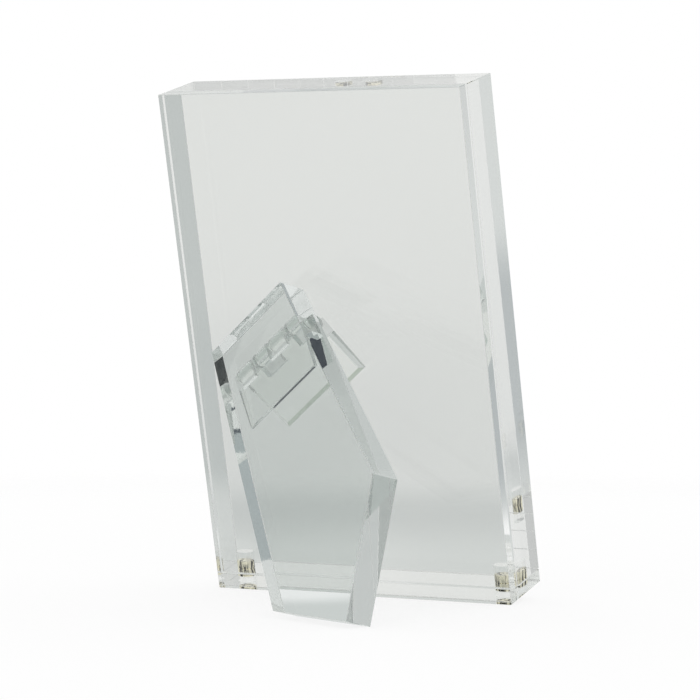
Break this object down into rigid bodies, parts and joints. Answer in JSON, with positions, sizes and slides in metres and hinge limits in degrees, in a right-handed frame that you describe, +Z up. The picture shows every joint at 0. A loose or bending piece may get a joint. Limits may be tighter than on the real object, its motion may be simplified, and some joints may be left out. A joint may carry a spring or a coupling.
{
  "type": "acrylic block photo frame",
  "caption": "Clear acrylic block photo frame: a thick front block held by magnets on a ledged back plate, propped by a diagonal hinged leg that folds flat.",
  "frame": {"origin": "on the table, below the middle of the standing frame's bounding box", "axes": "+Z up, the front of the frame looks along -Y, and the leg stands behind it along +Y"},
  "size_m": [0.1016, 0.0971, 0.1593],
  "materials": {
    "clear_acrylic": "polished",
    "clear_hinge": "polished",
    "nickel": "polished"
  },
  "bodies": {
    "stand": {"back_plate": "clear_acrylic", "base_ledge": "clear_acrylic", "ledge_magnet_left": "nickel", "ledge_magnet_right": "nickel", "hinge_plate_leaf": "clear_hinge", "hinge_pin": "clear_hinge"},
    "prop_leg": {"leg": "clear_acrylic", "hinge_leg_leaf": "clear_hinge"},
    "photo_block": {"front_block": "clear_acrylic", "block_magnet_left": "nickel", "block_magnet_right": "nickel"}
  },
  "joints": [
    {"name": "leg_fold", "type": "hinge", "parent": "stand", "child": "prop_leg", "pos_m": [0.0149, -0.00533, 0.07601], "axis": [-0.766, 0.1527, 0.6244], "range_deg": [0, 35.4]},
    {"name": "block_lift", "type": "slide", "parent": "stand", "child": "photo_block", "axis": [0, 0.2375, 0.9714], "range_m": [0, 0.16]}
  ]
}
